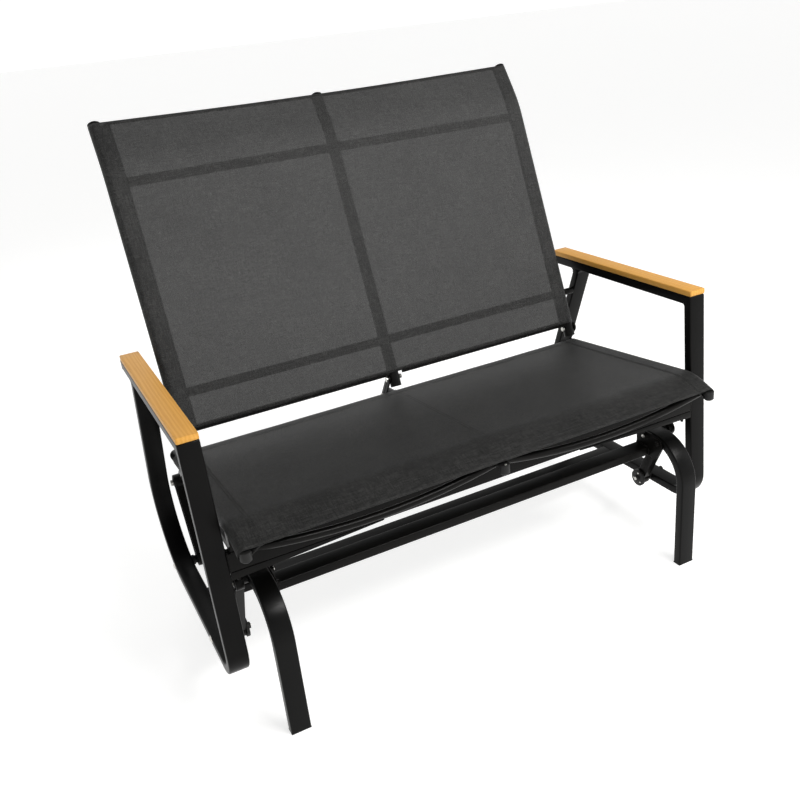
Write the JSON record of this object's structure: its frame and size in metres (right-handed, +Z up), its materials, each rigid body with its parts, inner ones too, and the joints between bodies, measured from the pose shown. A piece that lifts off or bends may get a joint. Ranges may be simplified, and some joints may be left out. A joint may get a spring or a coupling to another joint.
{
  "type": "glider bench",
  "caption": "Two-seat glider bench with a swinging tube seat frame, sling seat and back, wooden armrests and an arched-leg base.",
  "frame": {"origin": "middle of the footprint box, on the floor", "axes": "+Z up; the bench faces -Y; +X runs along the bench, to the right in the picture"},
  "size_m": [1.1468, 0.7447, 1.0666],
  "materials": {
    "black_steel": "satin black powder coat",
    "zinc_hardware": "bright zinc plate",
    "black_plastic": "matt black",
    "teak": "oiled yellow-brown wood",
    "sling_mesh": "woven dark grey mesh"
  },
  "bodies": {
    "base": {"left_base_leg": "black_steel", "right_base_leg": "black_steel", "front_base_crossbar": "black_steel", "rear_base_crossbar": "black_steel", "foot_caps": "black_plastic", "crossbar_bolts": "black_steel", "upper_pivot_bolts": "zinc_hardware", "upper_pivot_nuts": "black_steel"},
    "front_left_link_body": {"front_left_link": "black_steel", "front_left_bushes": "black_plastic"},
    "front_right_link_body": {"front_right_link": "black_steel", "front_right_bushes": "black_plastic"},
    "rear_left_link_body": {"rear_left_link": "black_steel", "rear_left_bushes": "black_plastic"},
    "rear_right_link_body": {"rear_right_link": "black_steel", "rear_right_bushes": "black_plastic"},
    "seat_frame": {"lower_pivot_bolts": "zinc_hardware", "lower_pivot_nuts": "black_steel", "left_side_frame": "black_steel", "right_side_frame": "black_steel", "left_armrest": "teak", "right_armrest": "teak", "armrest_screws": "zinc_hardware", "armrest_end_plugs": "black_plastic", "front_cross_rail": "black_steel", "front_rail_brackets": "black_steel", "front_rail_bolts": "black_steel", "lower_cross_rail": "black_steel", "lower_rail_stubs": "black_steel", "lower_rail_bolts": "black_steel", "seat_left_rail": "black_steel", "seat_right_rail": "black_steel", "seat_centre_rail": "black_steel", "seat_rail_supports": "black_steel", "seat_rail_caps": "black_plastic", "front_seat_spreaders": "black_steel", "back_left_tube": "black_steel", "back_right_tube": "black_steel", "back_centre_tube": "black_steel", "back_tube_caps": "black_plastic", "back_upper_crossbars": "black_steel", "back_lower_crossbars": "black_steel", "back_side_brackets": "black_steel", "back_centre_bracket": "black_steel", "back_spacers": "black_steel", "back_studs": "zinc_hardware", "back_bolts": "zinc_hardware", "back_hem_rods": "black_steel", "seat_sling": "sling_mesh", "back_sling": "sling_mesh"}
  },
  "joints": [
    {"name": "glide", "type": "hinge", "parent": "base", "child": "rear_left_link_body", "pos_m": [-0.511, 0.2179, 0.29], "axis": [1, 0, 0], "range_deg": [-9, 9]},
    {"name": "rear_right_link_swing", "type": "hinge", "parent": "base", "child": "rear_right_link_body", "pos_m": [0.511, 0.2179, 0.29], "axis": [1, 0, 0], "range_deg": [-9, 9]},
    {"name": "front_left_link_swing", "type": "hinge", "parent": "base", "child": "front_left_link_body", "pos_m": [-0.511, -0.2421, 0.29], "axis": [1, 0, 0], "range_deg": [-9, 9]},
    {"name": "front_right_link_swing", "type": "hinge", "parent": "base", "child": "front_right_link_body", "pos_m": [0.511, -0.2421, 0.29], "axis": [1, 0, 0], "range_deg": [-9, 9]},
    {"name": "seat_on_rear_links", "type": "hinge", "parent": "rear_left_link_body", "child": "seat_frame", "pos_m": [-0.511, 0.1384, 0.128], "axis": [1, 0, 0], "range_deg": [-14.2, 14.2]}
  ],
  "couplings": [
    {"joint": "rear_right_link_swing", "follows": "glide", "ratio": 1},
    {"joint": "front_left_link_swing", "follows": "glide", "ratio": 1},
    {"joint": "front_right_link_swing", "follows": "glide", "ratio": 1},
    {"joint": "seat_on_rear_links", "follows": "glide", "ratio": -1.5282}
  ]
}
